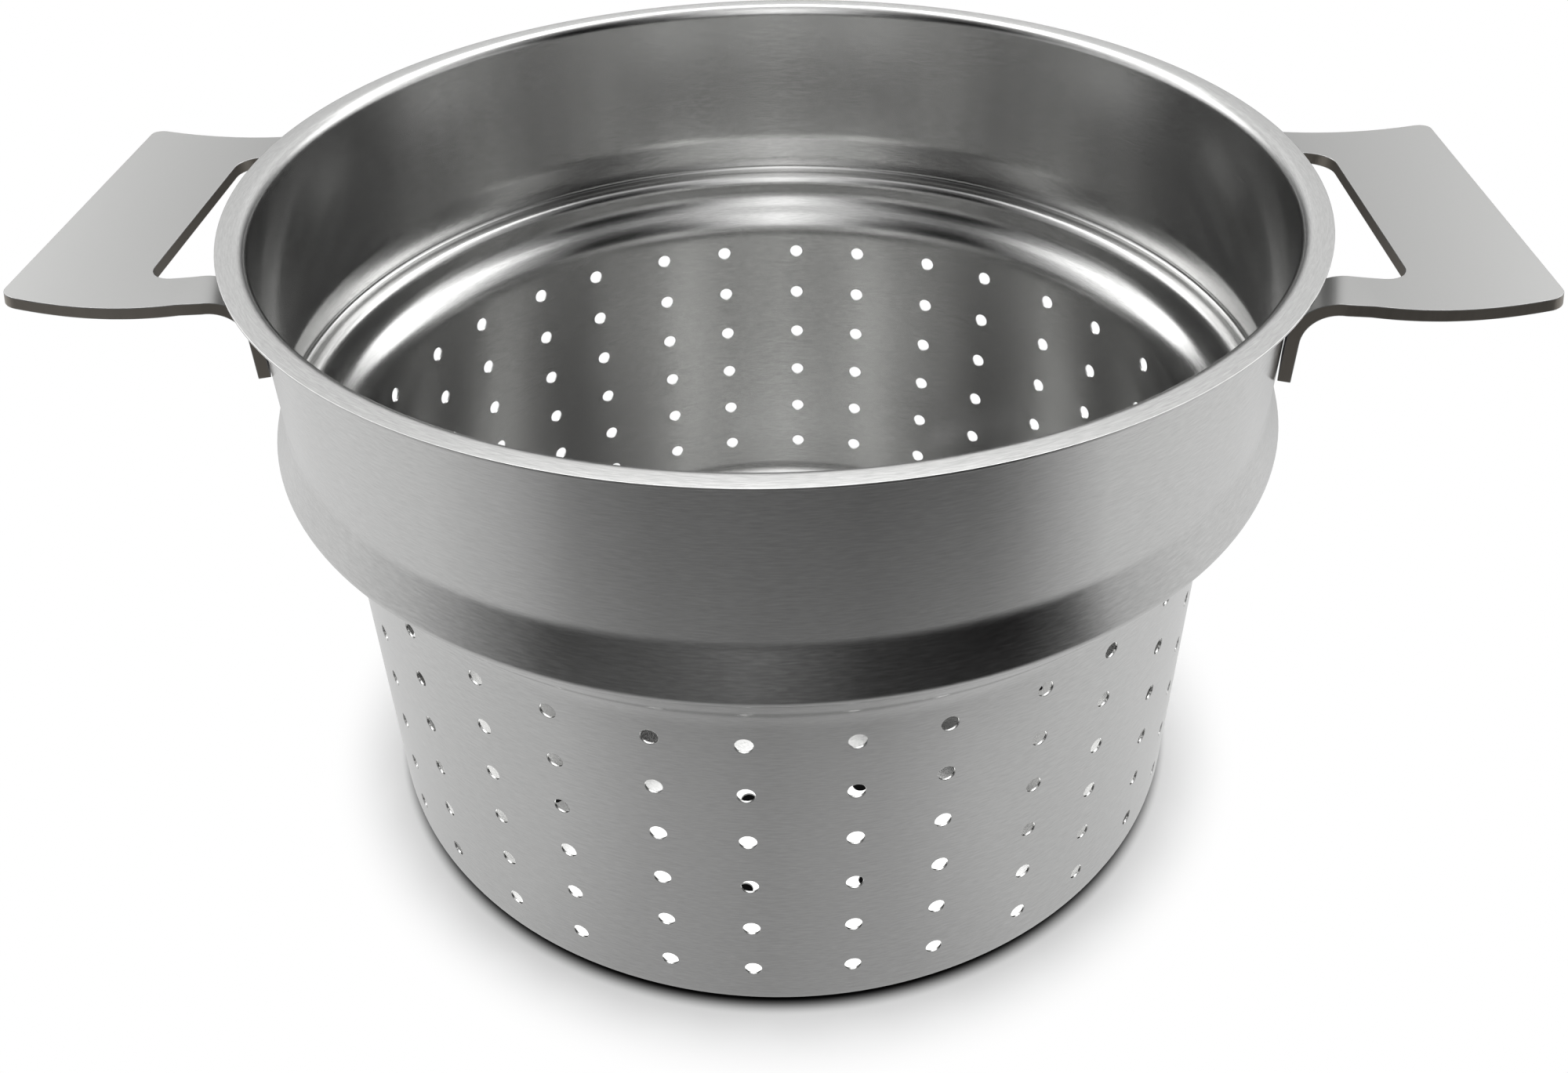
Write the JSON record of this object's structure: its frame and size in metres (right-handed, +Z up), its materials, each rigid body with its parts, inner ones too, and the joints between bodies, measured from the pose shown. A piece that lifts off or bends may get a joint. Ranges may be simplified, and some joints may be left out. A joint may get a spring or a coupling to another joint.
{
  "type": "steamer insert pot",
  "caption": "Perforated steel steamer and pasta insert with a stepped shoulder, a flared rim and two flat plate handles.",
  "frame": {"origin": "middle of the flat base, on the surface that the object stands on", "axes": "+Z up along the shell's axis, +X through the middle of the right handle, Y across the handles"},
  "size_m": [0.333, 0.2498, 0.165],
  "materials": {
    "brushed_shell_steel": "brushed round the axis, bright rim",
    "satin_handle_steel": "fine satin faces with darker brushed edges"
  },
  "bodies": {
    "root": {"insert_shell": "brushed_shell_steel", "right_handle": "satin_handle_steel", "left_handle": "satin_handle_steel"}
  },
  "joints": []
}
